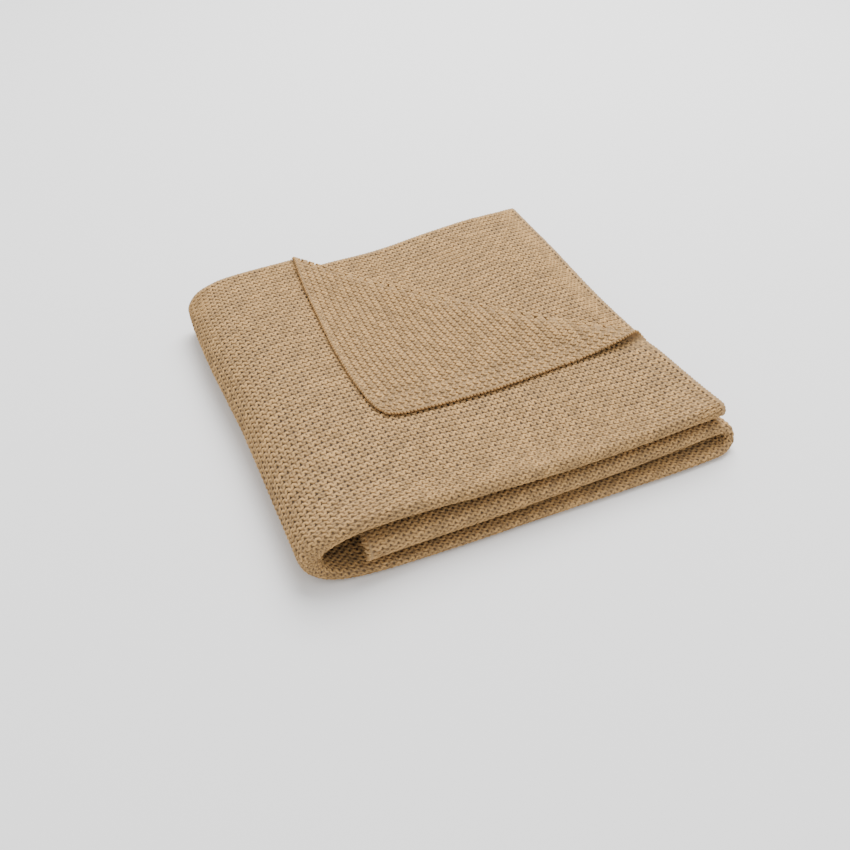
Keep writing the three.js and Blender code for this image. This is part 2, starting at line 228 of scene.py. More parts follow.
def bell(distance, width):
    return np.exp(-((distance / width) ** 2))


def edge_shift(along, y):
    """How far to the right the two free edges and the right fold are shifted."""
    behind = np.maximum(y, 0)
    past = np.maximum(along, 0)
    ahead = np.maximum(CLOTH_LENGTH - along, 0)
    before_fold = along - RIGHT_FOLD + FOLD_FLARE_AHEAD
    hollow = np.exp(-past / EDGE_HOLLOW_REACH) * bell(y / PILE_DEPTH - 0.5, EDGE_HOLLOW_WIDTH)
    edge_flare = np.exp(-past / EDGE_FLARE_REACH - behind / EDGE_FLARE_DEPTH)
    end_flare = np.exp(-ahead / EDGE_FLARE_REACH - behind / EDGE_FLARE_DEPTH)
    fold_flare = bell(before_fold, FOLD_FLARE_REACH) * np.exp(-behind / FOLD_FLARE_DEPTH)
    return (EDGE_FLARE * edge_flare - EDGE_HOLLOW * hollow
            - END_FLARE * end_flare + FOLD_FLARE * fold_flare)


def slide_share(depth):
    """The back half of the left fold bows outwards again, and its corner is rounded."""
    bow = SLIDE_BOW * smooth_step((depth - SLIDE_BOW_START) / SLIDE_BOW_DEPTH)
    return depth - bow + SLIDE_CORNER * np.exp((depth - 1) / SLIDE_CORNER_REACH)


free_edge = edge_shift(0, np.array([0, PILE_DEPTH / 2]))
print("shift of the free edge at its front and its middle in mm:", free_edge.round(1).tolist())

# %% [markdown]
# One corner of the top ply is turned over along a diagonal. The ply under it rises a little where
# the corner is off it, so it has to know that line too, and the line comes first. On the real
# blanket it is bent and its turn is looser at its ends. Here a bow, a skew and two bells do that.

# %% The line where the corner turns
CORNER_LEG, CORNER_BOW, CORNER_SKEW = 359, 9, 6
ROLL_RADIUS = 3.5
ROLL_BACK_EXTRA, ROLL_BACK_SPREAD = 0.3, 0.12
ROLL_RIGHT_EXTRA, ROLL_RIGHT_SPREAD = 3, 0.28
CORNER_WIDTH = float(ply_width(0, 1))


def turned_corner(along, width):
    """Distance past the corner's fold, and the radius of its turn there."""
    share = np.clip(0.5 * (1 - (along + width - CORNER_WIDTH) / CORNER_LEG), 0, 1)
    leg = CORNER_LEG + CORNER_BOW * np.sin(np.pi * share) - CORNER_SKEW * share
    radius = (ROLL_RADIUS + ROLL_BACK_EXTRA * bell(share, ROLL_BACK_SPREAD)
              + ROLL_RIGHT_EXTRA * bell(1 - share, ROLL_RIGHT_SPREAD))
    return (leg - along - (CORNER_WIDTH - width)) / math.sqrt(2), radius


from_tip = float(turned_corner(0, CORNER_WIDTH)[0])
print("from the corner's tip to the line in mm:", round(from_tip))

# %% [markdown]
# The doubled cloth has a round nose at the front, where its two plies join, and behind it they
# come together. Its top dips and waves a little, and the inner ply reaches further right.

# %% The doubled cloth
NOSE_TAPER = 46
INNER_EDGE_REACH, INNER_EDGE_DEPTH, INNER_EDGE_FADE = 8.3, 170, 150
RELIEF_LIFT, RELIEF_REACH = 4, 200
DISH, DISH_END, DISH_FADE = 3, 330, 120
WAVE_LENGTH, WAVE_DEPTH, WAVE_START, WAVE_DEPTH_START = 210, 190, 27, 60


def inner_shift(along, width, y, side):
    """How far the inner ply lies further right and higher, with the corner turned off it."""
    inner = np.where(side < 0, 1.0, 0.0)
    reach = np.exp(-np.maximum(along, 0) / INNER_EDGE_FADE) * smooth_step(y / INNER_EDGE_DEPTH)
    lift = smooth_step(turned_corner(along, width)[0] / RELIEF_REACH)
    return INNER_EDGE_REACH * reach * inner, RELIEF_LIFT * lift * inner


def doubled(along, width, side):
    """Points of the doubled cloth: side is 1 on the outer ply and -1 on the inner one."""
    at = section(along)
    nose = at["nose"]
    quarter = nose * math.pi / 2
    angle = np.minimum(width, quarter) / nose
    past = np.maximum(width - quarter, 0)
    puff = (nose - at["apart"] / 2) * (1 - smooth_step(past / NOSE_TAPER))
    half = np.where(width < quarter, nose * np.sin(angle), at["apart"] / 2 + puff)
    offset = side * half - puff * at["sag"]
    y = at["front"] + nose * (1 - np.cos(angle)) + past
    depth = y / PILE_DEPTH

    dished = 1 - smooth_step((along - DISH_END) / DISH_FADE)
    dish = DISH * dished * np.maximum(4 * depth * (1 - depth), 0)
    turns_along = (along + WAVE_START) / WAVE_LENGTH
    turns_across = (y + WAVE_DEPTH_START) / WAVE_DEPTH
    wave = at["wave"] * np.sin(2 * np.pi * turns_along) * np.sin(2 * np.pi * turns_across)
    right, up = inner_shift(along, width, y, side)
    x = (at["x"] + at["out_x"] * offset + at["slide"] * slide_share(depth)
         + edge_shift(along, y) + right)
    z = at["z"] + at["out_z"] * offset + at["back"] * depth - dish + wave + up
    return np.stack([x, y, z], axis=-1)


front_right = doubled(np.zeros(1), np.zeros(1), 1.0)[0]
print("front end of the free edge, not yet placed, in mm:", front_right.round(1).tolist())

# %% [markdown]
# The turned corner is a half turn of small radius along its line. Past it the cloth lies flat on
# the layer below, upside down. A point beyond the line is reflected in it, and then raised along
# the normal of the ply that it now lies on. The corner's tip and the right end of its fold are
# drawn in a little, because knitted edges don't turn sharply.

# %% The turned corner
FLAP_CLEARANCE, FLAP_SETTLE, FLAP_STRETCH = 0.9, 70, 0.99
TIP_ROUND, TIP_ROUND_REACH = 5, 14
ROLL_END_DRAW, ROLL_END_REACH, ROLL_END_PLACE = 4.5, 22, 339
NORMAL_STEP = 0.5


def tangents(surface, along, width):
    """Unit steps along and across a surface, and its unit normal."""
    step = NORMAL_STEP
    along_step = surface(along + step, width) - surface(along - step, width)
    width_step = surface(along, width + step) - surface(along, width - step)
    along_step /= np.linalg.norm(along_step, axis=-1, keepdims=True)
    width_step /= np.linalg.norm(width_step, axis=-1, keepdims=True)
    normal = np.cross(width_step, along_step)
    normal /= np.linalg.norm(normal, axis=-1, keepdims=True)
    return along_step, width_step, normal


def outer_ply(along, width):
    return doubled(along, width, 1.0)


def folded(along, width):
    """Points of the cloth's middle surface. The width is negative on the inner ply."""
    side = np.where(width < 0, -1.0, 1.0)
    drawn_in = TIP_ROUND * bell(np.hypot(along, CORNER_WIDTH - width), TIP_ROUND_REACH)
    from_roll_end = np.hypot(along, CORNER_WIDTH - width - ROLL_END_PLACE)
    drawn_back = ROLL_END_DRAW * bell(from_roll_end, ROLL_END_REACH)
    along, width = along + drawn_in + drawn_back, width - drawn_in + drawn_back
    points = doubled(along, abs(width), side)
    distance, radius = turned_corner(along, width)
    turned = (side > 0) & (distance > 0)
    if not turned.any():
        return points
    along, width = along[turned], width[turned]
    distance, radius = distance[turned], radius[turned]
    half_turn = np.pi * radius
    beyond = np.maximum(distance - half_turn, 0)
    angle = np.minimum(distance / radius, np.pi)
    lying = CLOTH_THICKNESS + FLAP_CLEARANCE
    settled = lying + (2 * radius - lying) * (1 - smooth_step(beyond / FLAP_SETTLE))
    flat = np.where(beyond > 0, -beyond * FLAP_STRETCH, radius * np.sin(angle))
    height = np.where(beyond > 0, settled, radius * (1 - np.cos(angle)))
    shift = (distance - flat) / math.sqrt(2)
    normal = tangents(outer_ply, along + shift, width - shift)[2]
    points[turned] = outer_ply(along + shift, width - shift) + normal * height[:, None]
    return points


tip = folded(np.zeros(1), np.full(1, CORNER_WIDTH))[0]
print("the turned tip, not yet placed, in mm:", tip.round(1).tolist())

# %% [markdown]
# Stitches are counted, not measured: a row of knitting has the same number of stitches everywhere,
# however it is pulled. So the flat panel is laid out in ridges across the cloth, and their real
# width follows from the ply's width at that place.
#
# Garter stitch has one ridge for each two rows, and a stitch is about as wide as a ridge, so the
# panel is covered in nearly square cells. Towards the doubled fold at the front the ridges are
# squeezed together, and a table made by adding up their spacings turns ridges into widths.

# %% The flat panel, counted in stitches and ridges
WANTED_STITCH_WIDTH = 7.6
RIDGE_SPACING = 8.3
NOMINAL_WIDTH = 493.0  # of a ply, when its ridges are counted
SQUEEZE, SQUEEZE_REACH = 0.48, 38
WIDTH_SAMPLES = 500
STITCHES = round(CLOTH_LENGTH / WANTED_STITCH_WIDTH)
STITCH_WIDTH = CLOTH_LENGTH / STITCHES


def ridge_share(nominal):
    """The spacing of the ridges here, as a share of the spacing far from the fold."""
    return 1 - SQUEEZE * np.exp(-abs(nominal) / SQUEEZE_REACH)


FROM_FOLD = np.linspace(0, NOMINAL_WIDTH, WIDTH_SAMPLES)
RIDGES_PASSED = np.concatenate(
    [[0], np.cumsum(np.diff(FROM_FOLD) / (RIDGE_SPACING * ridge_share(FROM_FOLD[1:])))])
RIDGES = round(RIDGES_PASSED[-1])  # on one ply
RIDGES_PASSED *= RIDGES / RIDGES_PASSED[-1]
print(STITCHES, "stitches by", 2 * RIDGES, "ridges")


def ridges_at(nominal):
    return np.sign(nominal) * np.interp(abs(nominal), FROM_FOLD, RIDGES_PASSED)


def width_at(ridge):
    return np.sign(ridge) * np.interp(abs(ridge), RIDGES_PASSED, FROM_FOLD)


# %% [markdown]
# One function now takes any flat point onto the folded cloth: to its foot on the cloth's middle
# surface, and up the normal there by its height. The loops round the edges reach past the panel,
# where the surface ends, so such a point goes straight on from the edge.

# %% From the flat panel to the pile
HALF_THICKNESS = CLOTH_THICKNESS / 2


def bend(flat):
    """Moves flat points onto the folded cloth, in millimetres.
    A flat point holds its length, its nominal width and its height over the middle surface."""
    along, nominal, height = flat.T
    pull = ply_width(along, nominal) / NOMINAL_WIDTH
    width = nominal * pull
    kept_along = np.clip(along, 0, CLOTH_LENGTH)
    kept_width = np.clip(nominal, -NOMINAL_WIDTH, NOMINAL_WIDTH) * pull
    along_step, width_step, normal = tangents(folded, kept_along, kept_width)
    return (folded(kept_along, kept_width) + normal * height[:, None]
            + along_step * (along - kept_along)[:, None]
            + width_step * (width - kept_width)[:, None])


middle = [CLOTH_LENGTH / 2, NOMINAL_WIDTH / 2]
foot, surface = bend(np.array([[*middle, 0], [*middle, HALF_THICKNESS]]))
print("half the folded cloth's thickness in mm:", round(float(np.linalg.norm(surface - foot)), 2))

# %% [markdown]
# The ground is the cloth without its yarn: a thin closed sheet that is seen only between the
# stitches. Its mesh is a flat grid that is fine where the doubled cloth turns and coarse where it
# lies flat, with one more line close to each edge for the selvedge.

# %% The flat grid of the ground
FLAT_STEP = 11.0
FOLD_STEP = 3.0
NOSE_STEP = 2.0
NOSE_REACH = 20.0
EDGE_STEP = 3.5
LEFT_FOLD_SPAN = (400.0, 590.0)
RIGHT_FOLD_SPAN = (985.0, 1095.0)


def even_steps(start, end, step):
    return np.linspace(start, end, max(round((end - start) / step), 1), endpoint=False)


def pairs(along, across):
    """Each length with each width, row by row."""
    return np.stack(np.meshgrid(along, across, indexing="ij"), axis=-1).reshape(-1, 2)


def flat_grid():
    """Flat points and the four-sided faces between them."""
    along = np.concatenate([
        [0],
        even_steps(EDGE_STEP, LEFT_FOLD_SPAN[0], FLAT_STEP),
        even_steps(*LEFT_FOLD_SPAN, FOLD_STEP),
        even_steps(LEFT_FOLD_SPAN[1], RIGHT_FOLD_SPAN[0], FLAT_STEP),
        even_steps(*RIGHT_FOLD_SPAN, FOLD_STEP),
        even_steps(RIGHT_FOLD_SPAN[1], CLOTH_LENGTH - EDGE_STEP, FLAT_STEP),
        [CLOTH_LENGTH - EDGE_STEP, CLOTH_LENGTH],
    ])
    half = np.concatenate([
        even_steps(0, NOSE_REACH, NOSE_STEP),
        even_steps(NOSE_REACH, NOMINAL_WIDTH - EDGE_STEP, FLAT_STEP),
        [NOMINAL_WIDTH - EDGE_STEP, NOMINAL_WIDTH],
    ])
    across = np.concatenate([-half[:0:-1], half])
    row = len(across)
    firsts = [i * row + j for i in range(len(along) - 1) for j in range(row - 1)]
    return pairs(along, across), [[i, i + 1, i + 1 + row, i + row] for i in firsts]


ground_flat, ground_faces = flat_grid()
print("ground:", len(ground_flat), "flat points")

# %% [markdown]
# The folded points are still where the stations put them. The pile is moved so that its box has
# the same middle as the CAD model's, and then everything is in the one shared frame.

# %% Place the pile in the frame


def both_faces(flat, height_front, height_back):
    return bend(np.vstack([np.column_stack([flat, height_front]),
                           np.column_stack([flat, height_back])]))


full = np.full(len(ground_flat), HALF_THICKNESS)
loose = both_faces(ground_flat, full, -full)
low, high = (np.array(corner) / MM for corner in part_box("blanket"))
PLACE = (low + high) / 2 - (loose.min(0) + loose.max(0)) / 2
PLACE[2] = low[2] - loose[:, 2].min()
print("CAD size in mm:", (high - low).round(1), "folded here:", np.ptp(loose, axis=0).round(1))


def onto_the_pile(flat):
    """Flat points in millimetres to places in the frame, in metres."""
    return (bend(flat) + PLACE) * MM


# %% [markdown]
# Most of the cloth is inside the pile, where no one sees its stitches. A stitch costs about
# ninety triangles, so it is worth asking which ones can be seen. From a grid of places on both
# faces of the cloth, rays go out in many directions. The share of them that leave the pile says
# how open that place is.

# %% How open each place of the cloth is
RAYS = 64
LOWEST_RAY = -0.08  # a ray that points further down than this ends at the floor
GRAZING = 0.12  # and one that leaves the cloth more flatly than this is left out
RAY_START = 1.6
OPEN_STEP = 10.0
INSIDE_LAST = 1.001  # keeps a place at the grid's end inside its last cell


def directions():
    """Even directions over the sphere, without those that point down to the floor."""
    index = np.arange(RAYS) + 0.5
    z = 1 - 2 * index / RAYS
    turn = np.pi * (1 + math.sqrt(5)) * index
    ring = np.sqrt(1 - z * z)
    every = np.column_stack([ring * np.cos(turn), ring * np.sin(turn), z])
    return every[z > LOWEST_RAY]


def openness(face):
    """Shares of free rays over the flat grid. face is 1 for the outside and -1 for the inside."""
    along = np.arange(0, CLOTH_LENGTH + OPEN_STEP, OPEN_STEP)
    across = np.arange(-NOMINAL_WIDTH, NOMINAL_WIDTH + OPEN_STEP, OPEN_STEP)
    grid = pairs(along, across)
    heights = np.full(len(grid), face * (HALF_THICKNESS + RAY_START))
    start = onto_the_pile(np.column_stack([grid, heights]))
    foot = onto_the_pile(np.column_stack([grid, np.zeros(len(grid))]))
    normal = (start - foot) / np.linalg.norm(start - foot, axis=1, keepdims=True)
    rays = directions()
    facing = normal @ rays.T > GRAZING
    free = np.zeros(len(grid))
    for i, (origin, turned_to) in enumerate(zip(start.tolist(), facing)):
        for j in np.nonzero(turned_to)[0]:
            free[i] += solid.ray_cast(origin, RAY_LIST[j])[0] is None
    return along, across, (free / len(rays)).reshape(len(along), len(across))


RAY_LIST = [Vector(ray) for ray in directions()]
cad_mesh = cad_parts["blanket"].data
solid = BVHTree.FromPolygons([vertex.co for vertex in cad_mesh.vertices],
                             [face.vertices for face in cad_mesh.polygons])
OPEN = {face: openness(face) for face in (1, -1)}
print("open share of the outside and the inside:",
      [round(float((OPEN[face][2] > 0).mean()), 2) for face in (1, -1)])


def open_at(flat, face):
    """How open the cloth is at flat points, between the grid's places."""
    along, across, share = OPEN[face]
    row = np.clip(flat[:, 0] / OPEN_STEP, 0, len(along) - INSIDE_LAST)
    column = np.clip((flat[:, 1] - across[0]) / OPEN_STEP, 0, len(across) - INSIDE_LAST)
    i, j = row.astype(int), column.astype(int)
    down, right = row - i, column - j
    return ((share[i, j] * (1 - right) + share[i, j + 1] * right) * (1 - down)
            + (share[i + 1, j] * (1 - right) + share[i + 1, j + 1] * right) * down)


# %% [markdown]
# No row of real knitting is quite straight. Slow waves shift the stitches by a millimetre or two,
# over the front of the top layer the rows slant up and down, and behind the doubled fold the
# columns lean. The ground's material has to know where the stitches stand, so the same shift is
# also undone, by a few rounds of taking it back.

# %% Rows that wander
# each wave: its height, the lengths along and across that turn it by a radian, and its start
WAVES_ALONG = [(1.3, math.inf, 61, 0.7), (0.9, 83, 47, 0), (0.6, 23, -37, 0)]
WAVES_ACROSS = [(1.0, 41, 113, 0), (0.5, 19, 29, 0)]
SLANTS = [(-5, -20, 70), (12, 60, 150), (-7, 350, 110)]  # each: rise, start and span along
SLANT_DEPTH, SLANT_FADE = 200, 240
LEAN, LEAN_REACH = 9.0, 35
UNDO_ROUNDS = 6


def waves(table, along, across):
    return sum(height * np.sin(along / long + across / wide + start)
               for height, long, wide, start in table)


def wander(flat):
    """Shifts flat points by slow waves, the slants and the lean, in millimetres."""
    along, across = flat.T
    inwards = smooth_step(np.minimum(along, CLOTH_LENGTH - along) / LEAN_REACH)
    lean = LEAN * np.sign(across) * (1 - np.exp(-abs(across) / LEAN_REACH)) * inwards
    shift_along = waves(WAVES_ALONG, along, across) + lean
    slant = sum(rise * smooth_step((along - start) / span) for rise, start, span in SLANTS)
    slant = slant * (1 - smooth_step((abs(across) - SLANT_DEPTH) / SLANT_FADE))
    shift_across = waves(WAVES_ACROSS, along, across) + slant
    return flat + np.column_stack([shift_along, shift_across])


def undo_wander(flat):
    still = flat
    for _ in range(UNDO_ROUNDS):
        still = still + flat - wander(still)
    return still


sample = np.array([[120.0, 90.0], [400.0, -300.0]])
missed = abs(wander(undo_wander(sample)) - sample).max()
print("shift in mm:", (wander(sample) - sample).round(1).tolist(), "undone to", round(missed, 3))

# %% [markdown]
# The ground lies deep where stitches stand on it, and comes up between them along the plain
# selvedge at the panel's edges and over the tight roll of the turned corner. Where no stitch
# stands it is as thick as the cloth. Each of its points also says how much painted shade its
# material may put in a hole there. The painted holes are fainter at the doubled fold, where the
# rows are squeezed together. The underside, which has no stitches, gets the painted holes too.

# %% How high the ground lies, and where it has holes
GROUND_HEIGHT, FLAP_GROUND_HEIGHT = 0.7, 0.2
PLAIN_HEIGHT = 2.05
SELVEDGE, SELVEDGE_BLEND = 0.5, 3.0
ROLL_MIDDLE, ROLL_SPREAD = 0.5, 0.9  # shares of the corner's half turn
SEEN, SEEN_BLEND = 0.014, 0.03  # a place more open than the first gets stitches
# how much painted shade the holes get on the flap, on the inside and on the underside
FLAP_HOLES, INNER_HOLES, UNDERSIDE_HOLES = 0.65, 0.9, 0.6
UNDER_ROLL, UNDER_ROLL_BLEND = 4, 16  # the inner ply's holes start this far behind the roll
NOSE_HOLES, NOSE_HOLES_REACH = 0.75, 40


def seen_share(flat, face):
    """1 where stitches stand on the ground and 0 where none do."""
    return smooth_step((open_at(flat, face) - SEEN) / SEEN_BLEND)


def plain_share(flat):
    """1 on the selvedge and on the roll of the turned corner, and 0 where the knit is open."""
    along, nominal = flat.T
    from_edge = np.minimum(np.minimum(along, CLOTH_LENGTH - along), NOMINAL_WIDTH - abs(nominal))
    selvedge = 1 - smooth_step((from_edge - SELVEDGE) / SELVEDGE_BLEND)
    distance, radius = turned_corner(along, nominal * ply_width(along, nominal) / NOMINAL_WIDTH)
    turn = distance / (np.pi * radius)
    roll = np.where(nominal > 0, bell(turn - ROLL_MIDDLE, ROLL_SPREAD), 0)
    return np.maximum(selvedge, roll)


def ground_height(flat, face):
    on_flap = (face < 0) & (flat[:, 1] > 0)
    bottom = np.where(on_flap, FLAP_GROUND_HEIGHT, GROUND_HEIGHT)
    deep = bottom + (PLAIN_HEIGHT - bottom) * plain_share(flat)
    return HALF_THICKNESS + (deep - HALF_THICKNESS) * seen_share(flat, face)


def hole_share(flat, face):
    """How much painted shade the holes get, from 0 to 1."""
    along, nominal = flat.T
    seen = seen_share(flat, face)
    squeezed_shut = (1 - NOSE_HOLES) * bell(nominal, NOSE_HOLES_REACH)
    holes = seen * (1 - plain_share(flat)) * (1 - squeezed_shut)
    if face > 0:
        return np.maximum(holes, UNDERSIDE_HOLES * (1 - seen))
    behind_roll = turned_corner(along, abs(nominal))[0]
    clear = smooth_step((behind_roll - UNDER_ROLL) / UNDER_ROLL_BLEND)
    return holes * np.where(nominal > 0, FLAP_HOLES, INNER_HOLES * clear)


heights = [ground_height(ground_flat, face) for face in (1, -1)]
holes = [hole_share(ground_flat, face) for face in (1, -1)]
print("least height of the ground in mm:", [round(float(height.min()), 2) for height in heights])

# %% [markdown]
# The sheet is the flat grid twice, bent at its two heights, with a wall round its rim. Its UV map
# counts stitches and ridges, because its material paints the shade of a hole for each stitch. The
# shares of that painted shade are an attribute of its points.

# %% The ground as a closed sheet


def rim_edges(faces):
    """The edges that only one face has, in that face's direction."""
    once = {}
    for face in faces:
        for a, b in zip(face, face[1:] + face[:1]):
            if (b, a) in once:
                del once[b, a]
            else:
                once[a, b] = True
    return list(once)


def keep(mesh, name, values, kind="FLOAT", field="value"):
    """Keeps a value with each point of a mesh."""
    mesh.attributes.new(name, kind, "POINT").data.foreach_set(field, values)


def closed_sheet(name, flat, faces):
    count = len(flat)
    points = (both_faces(flat, heights[0], -heights[1]) + PLACE) * MM
    walls = [[b, a, a + count, b + count] for a, b in rim_edges(faces)]
    under = [[i + count for i in reversed(face)] for face in faces]
    mesh = bpy.data.meshes.new(name)
    mesh.from_pydata(points.tolist(), [], faces + under + walls)
    still = undo_wander(flat)
    front = np.column_stack([still[:, 0] / STITCH_WIDTH, ridges_at(still[:, 1])])
    counted = np.vstack([front, front * [1, -1]])
    corners = np.empty(len(mesh.loops), int)
    mesh.loops.foreach_get("vertex_index", corners)
    mesh.uv_layers.new(name="stitches").data.foreach_set("uv", counted[corners].ravel())
    keep(mesh, "holes", np.concatenate(holes))
    mesh.shade_smooth()
    return new_object(name, mesh)


def triangles(piece):
    piece.data.calc_loop_triangles()
    return len(piece.data.loop_triangles)


ground = closed_sheet("blanket_ground", ground_flat, ground_faces)
print("ground:", triangles(ground), "triangles")

# %% [markdown]
# Each node tree below is written with one small class. It wraps a socket, and arithmetic on it
# adds Math nodes, so that a formula reads as a formula, also with a plain number in front. Its one
# method for all other nodes takes the node's type, its settings and its inputs.

# %% A wire of a node tree


class Wire:
    """A socket of a node tree that Python can calculate with."""

    def __init__(self, tree, socket=None):
        self.tree = tree
        self.socket = socket

    def node(self, kind, settings=None, inputs=None, output=0):
        """Adds a node and gives one of its outputs. Settings come before inputs."""
        made = self.tree.nodes.new(kind)
        for name, value in (settings or {}).items():
            setattr(made, name, value)
        for name, value in (inputs or {}).items():
            if isinstance(value, (Wire, list)):
                for wire in value if isinstance(value, list) else [value]:
                    self.tree.links.new(wire.socket, made.inputs[name])
            else:
                made.inputs[name].default_value = value
        return Wire(self.tree, made.outputs[output]) if made.outputs else None

    def maths(self, operation, *values):
        return self.node("ShaderNodeMath", {"operation": operation}, dict(enumerate(values)))

    def __add__(self, other):
        return self.maths("ADD", self, other)

    def __sub__(self, other):
        return self.maths("SUBTRACT", self, other)

    def __rsub__(self, other):
        return self.maths("SUBTRACT", other, self)

    def __mul__(self, other):
        return self.maths("MULTIPLY", self, other)

    def __truediv__(self, other):
        return self.maths("DIVIDE", self, other)

    def __rtruediv__(self, other):
        return self.maths("DIVIDE", other, self)

    __radd__ = __add__
    __rmul__ = __mul__


print("a wire's methods:", ", ".join(name for name, value in vars(Wire).items() if callable(value)))

# %% [markdown]
# On the real blanket every stitch shows as a soft loop of yarn that rises, turns over and dips
# back between its neighbours, and half a stitch further on the same yarn turns the other way. A
# bump map can't give that at the edges, so each loop is real geometry. Geometry Nodes knit it
# once and repeat it, because the panel has thousands of equal stitches. A loop's sizes are named
# inputs of the tree, so that the knit can be changed without opening it.

# %% The sizes of a loop
# in millimetres, but for the flatness and the unevenness, which are shares
LOOP_SIZES = {
    "Stitch width": STITCH_WIDTH,
    "Yarn radius": 1.85,
    "Yarn flatness": 0.66,
    "Head width": 3.3,
    "Sinker width": 2.8,
    "Loop rise": 2.6,
    "Loop top": 0.9,
    "Loop dip": 1.7,
    "Edge radius": 0.8,
    "Edge slant": 0.9,
    "Unevenness": 0.1,
}


def new_tree(name):
    tree = bpy.data.node_groups.new(name, "GeometryNodeTree")
    tree.is_modifier = True
    add = tree.interface.new_socket
    add("Points", in_out="INPUT", socket_type="NodeSocketGeometry")
    for size, value in LOOP_SIZES.items():
        add(size, in_out="INPUT", socket_type="NodeSocketFloat").default_value = value
    add("Seed", in_out="INPUT", socket_type="NodeSocketInt")
    add("Yarn", in_out="INPUT", socket_type="NodeSocketMaterial")
    add("Stitches", in_out="OUTPUT", socket_type="NodeSocketGeometry")
    return tree


garter = new_tree("Garter stitches")
print("the tree has", len(LOOP_SIZES), "sizes")

# %% [markdown]
# A loop of yarn is a line that a formula bends: u runs from -1 to 1, and with it the yarn's place.
# A round profile makes it a tube, which is then flattened, as soft yarn is in a cloth. Few sides
# are enough for something so small, and they keep thousands of loops light.

# %% A loop of yarn
LOOP_CUTS = 4
YARN_SIDES = 5
EDGE_WRAP = 2.0  # radians to each side


def vector(start, x=0.0, y=0.0, z=0.0):
    return start.node("ShaderNodeCombineXYZ", None, {"X": x, "Y": y, "Z": z})


def yarn_tube(start, sizes, x, y, z):
    """A flattened tube of yarn whose middle line goes through these places."""
    flatness = sizes["Yarn flatness"]
    places = vector(start, x, y, z / flatness)
    line = start.node("GeometryNodeCurvePrimitiveLine")
    line = start.node("GeometryNodeResampleCurve", None, {"Curve": line, "Count": LOOP_CUTS + 1})
    line = start.node("GeometryNodeSetPosition", None, {"Geometry": line, "Position": places})
    round_yarn = start.node("GeometryNodeCurvePrimitiveCircle", None,
                            {"Resolution": YARN_SIDES, "Radius": sizes["Yarn radius"]})
    tube = start.node("GeometryNodeCurveToMesh", None,
                      {"Curve": line, "Profile Curve": round_yarn, "Fill Caps": True})
    return start.node("GeometryNodeTransform", None,
                      {"Geometry": tube, "Scale": vector(start, 1.0, 1.0, flatness)})


def one_stitch(start, sizes, u):
    """The head of the loop and, half a stitch further, the sinker that turns the other way."""
    y = (1 - u * u * 2) * sizes["Loop rise"]
    z = sizes["Loop top"] - u * u * sizes["Loop dip"]
    head = yarn_tube(start, sizes, u * sizes["Head width"], y, z)
    sinker = yarn_tube(start, sizes, u * sizes["Sinker width"], y, z)
    half_on = vector(start, x=sizes["Stitch width"] * 0.5)
    turned = start.node("GeometryNodeTransform", None,
                        {"Geometry": sinker, "Translation": half_on, "Rotation": (0, 0, math.pi)})
    return start.node("GeometryNodeJoinGeometry", None, {"Geometry": [head, turned]})


def one_edge_loop(start, sizes, u):
    """A loop that goes round the cloth's edge, from one face to the other."""
    angle = u * EDGE_WRAP
    x = start.maths("COSINE", angle) * sizes["Edge radius"]
    z = start.maths("SINE", angle) * sizes["Edge radius"]
    return yarn_tube(start, sizes, x, u * sizes["Edge slant"], z)


loop_triangles = 2 * LOOP_CUTS * YARN_SIDES + 2 * (YARN_SIDES - 2)
print("a loop has", loop_triangles, "triangles, and a stitch has two loops")

# %% [markdown]
# The flat places of the stitches are the points of a mesh, and each point carries how its stitch
# is turned and squeezed. A small random turn and size make no stitch quite like the next, and a
# random shade stays with each one for the material.

# %% A stitch at each place


def carried(start, name, kind="FLOAT"):
    """An attribute that the points carry."""
    return start.node("GeometryNodeInputNamedAttribute", {"data_type": kind}, {"Name": name})


def set_at_points(start, sizes, kept, instance):
    """One instance at each kept point, none quite like the next."""

    def chance(number):
        return start.node("FunctionNodeRandomValue", {"data_type": "FLOAT"},
                          {2: -1.0, 3: 1.0, "Seed": sizes["Seed"] + number}, output=1)

    turn = carried(start, "turn", "FLOAT_VECTOR")
    tilt = vector(start, z=chance(0) * sizes["Unevenness"])
    rotation = start.node("ShaderNodeVectorMath", {"operation": "ADD"}, {0: turn, 1: tilt})
    growth = chance(1) * sizes["Unevenness"] + 1
    squeezed = vector(start, growth, growth * carried(start, "squeeze"), growth)
    placed = start.node("GeometryNodeInstanceOnPoints", None,
                        {"Points": sizes["Points"], "Selection": kept, "Instance": instance,
                         "Rotation": rotation, "Scale": squeezed})
    return start.node("GeometryNodeStoreNamedAttribute",
                      {"data_type": "FLOAT", "domain": "INSTANCE"},
                      {"Geometry": placed, "Name": "shade", "Value": chance(2)})


print("stitches are turned and sized by up to", LOOP_SIZES["Unevenness"])

# %% [markdown]
# The whole tree sets stitches on the panel and loops on its rim. It ends by making the instances
# real, because an export drops them, and by giving them their yarn.

# %% The whole tree


def knit_with(tree):
    start = Wire(tree)
    sizes = {name: start.node("NodeGroupInput", output=name)
             for name in ["Points", "Seed", "Yarn", *LOOP_SIZES]}
    u = start.node("GeometryNodeSplineParameter") * 2 - 1
    on_edge = carried(start, "on_edge", "BOOLEAN")
    on_panel = start.node("FunctionNodeBooleanMath", {"operation": "NOT"}, {0: on_edge})
    stitches = set_at_points(start, sizes, on_panel, one_stitch(start, sizes, u))
    edges = set_at_points(start, sizes, on_edge, one_edge_loop(start, sizes, u))
    both = start.node("GeometryNodeJoinGeometry", None, {"Geometry": [stitches, edges]})
    real = start.node("GeometryNodeRealizeInstances", None, {"Geometry": both})
    named = start.node("GeometryNodeSetMaterial", None,
                       {"Geometry": real, "Material": sizes["Yarn"]})
    start.node("NodeGroupOutput", None, {"Stitches": named})


knit_with(garter)
print("tree:", len(garter.nodes), "nodes,", len(garter.links), "links")

